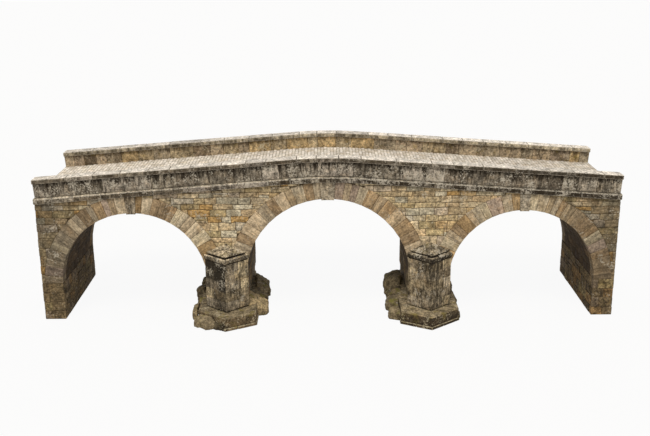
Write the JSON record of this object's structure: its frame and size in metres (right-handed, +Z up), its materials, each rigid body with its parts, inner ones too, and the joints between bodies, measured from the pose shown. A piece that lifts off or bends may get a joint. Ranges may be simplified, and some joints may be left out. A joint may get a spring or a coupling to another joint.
{
  "type": "three-arched stone road bridge",
  "caption": "Humped masonry road bridge on round arches, with pointed pyramid-capped cutwaters, string courses and coped parapets.",
  "frame": {"origin": "middle of the bridge, on the level where the pier plinths and the abutments stand", "axes": "+X along the bridge to the right, +Y across it away from the front face, +Z up"},
  "size_m": [24, 8.5, 6.9098],
  "materials": {
    "wall_stone": "weathered, rough",
    "pier_stone": "weathered, rough",
    "plinth_stone": "weathered, rough",
    "boulders": "weathered, rough",
    "cap_stone": "weathered, rough",
    "ring_stone": "weathered, rough",
    "key_stone": "weathered, rough",
    "soffit_stone": "weathered, rough",
    "fill": "weathered, rough",
    "coping_stone": "weathered, rough",
    "parapet_stone": "weathered, rough",
    "paving": "weathered, rough"
  },
  "bodies": {
    "root": {"left_abutment": "wall_stone", "right_abutment": "wall_stone", "left_pier": "pier_stone", "right_pier": "pier_stone", "left_plinth": "plinth_stone", "right_plinth": "plinth_stone", "left_footing_boulders": "boulders", "right_footing_boulders": "boulders", "left_front_cutwater": "pier_stone", "left_back_cutwater": "pier_stone", "right_front_cutwater": "pier_stone", "right_back_cutwater": "pier_stone", "left_front_cutwater_cap": "cap_stone", "left_back_cutwater_cap": "cap_stone", "right_front_cutwater_cap": "cap_stone", "right_back_cutwater_cap": "cap_stone", "left_front_arch_ring": "ring_stone", "left_back_arch_ring": "ring_stone", "centre_front_arch_ring": "ring_stone", "centre_back_arch_ring": "ring_stone", "right_front_arch_ring": "ring_stone", "right_back_arch_ring": "ring_stone", "left_front_keystone": "key_stone", "left_back_keystone": "key_stone", "centre_front_keystone": "key_stone", "centre_back_keystone": "key_stone", "right_front_keystone": "key_stone", "right_back_keystone": "key_stone", "left_arch_barrel": "soffit_stone", "centre_arch_barrel": "soffit_stone", "right_arch_barrel": "soffit_stone", "front_spandrel_wall": "wall_stone", "back_spandrel_wall": "wall_stone", "rubble_fill": "fill", "front_string_course": "coping_stone", "back_string_course": "coping_stone", "front_parapet": "parapet_stone", "back_parapet": "parapet_stone", "front_coping": "coping_stone", "back_coping": "coping_stone", "road_bedding": "fill", "road_paving": "paving"}
  },
  "joints": []
}
